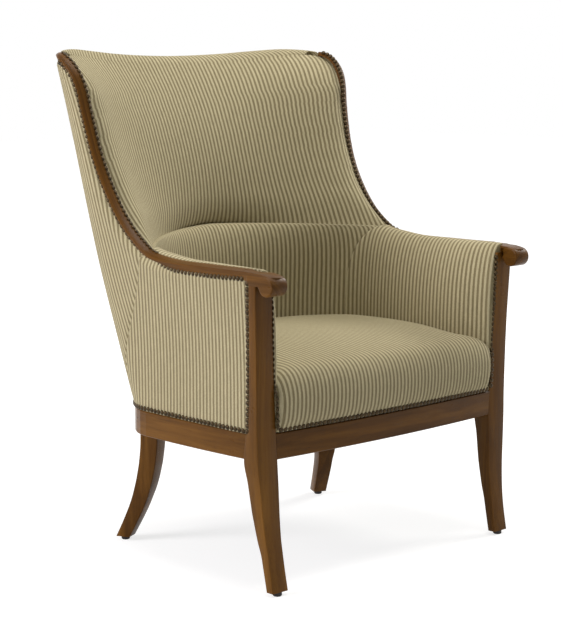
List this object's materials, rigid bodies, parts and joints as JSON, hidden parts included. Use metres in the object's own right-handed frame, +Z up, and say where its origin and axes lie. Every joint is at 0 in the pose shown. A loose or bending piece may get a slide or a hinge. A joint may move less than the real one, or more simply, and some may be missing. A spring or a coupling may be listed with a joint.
{
  "type": "fireside chair",
  "caption": "Barrel-backed upholstered fireside chair with a show-wood arm and wing rail, scrolled knuckles, sabre legs and a sprung webbed seat.",
  "frame": {"origin": "on the floor under the middle of the chair's overall box", "axes": "+Z up, -Y towards the front of the seat, +X towards the sitter's left"},
  "size_m": [0.7866, 0.765, 1.03],
  "materials": {
    "show_wood": "satin polished walnut",
    "frame_beech": "plain sawn beech",
    "striped_fabric": "narrow striped woven cover",
    "webbing": "woven jute webbing",
    "lining": "black bottom lining",
    "glide": "dark moulded",
    "nail_bronze": "antiqued domed nails"
  },
  "bodies": {
    "root": {"front_leg_left": "show_wood", "front_leg_right": "show_wood", "arm_rail_left": "show_wood", "arm_rail_right": "show_wood", "rear_leg_left": "show_wood", "rear_leg_right": "show_wood", "seat_rail_left": "show_wood", "seat_rail_right": "show_wood", "seat_rail_front": "show_wood", "seat_rail_back": "show_wood", "front_corner_block_left": "frame_beech", "front_corner_block_right": "frame_beech", "rear_corner_block_left": "frame_beech", "rear_corner_block_right": "frame_beech", "glide_front_left": "glide", "glide_front_right": "glide", "glide_rear_left": "glide", "glide_rear_right": "glide", "back_upright_left": "frame_beech", "back_upright_right": "frame_beech", "crest_rail": "frame_beech", "arm_tack_rail_left": "frame_beech", "arm_tack_rail_right": "frame_beech", "back_tack_rail": "frame_beech", "inside_arm_left": "striped_fabric", "inside_arm_right": "striped_fabric", "lumbar_pad": "striped_fabric", "inside_back": "striped_fabric", "seat_pad": "striped_fabric", "outside_side_left": "striped_fabric", "outside_side_right": "striped_fabric", "outside_back": "striped_fabric", "seat_web_long_1": "webbing", "seat_web_long_2": "webbing", "seat_web_long_3": "webbing", "seat_web_long_4": "webbing", "seat_web_long_5": "webbing", "back_web_1": "webbing", "back_web_2": "webbing", "back_web_3": "webbing", "seat_web_cross_1": "webbing", "seat_web_cross_2": "webbing", "seat_web_cross_3": "webbing", "seat_web_cross_4": "webbing", "dust_cover": "lining"}
  },
  "joints": []
}
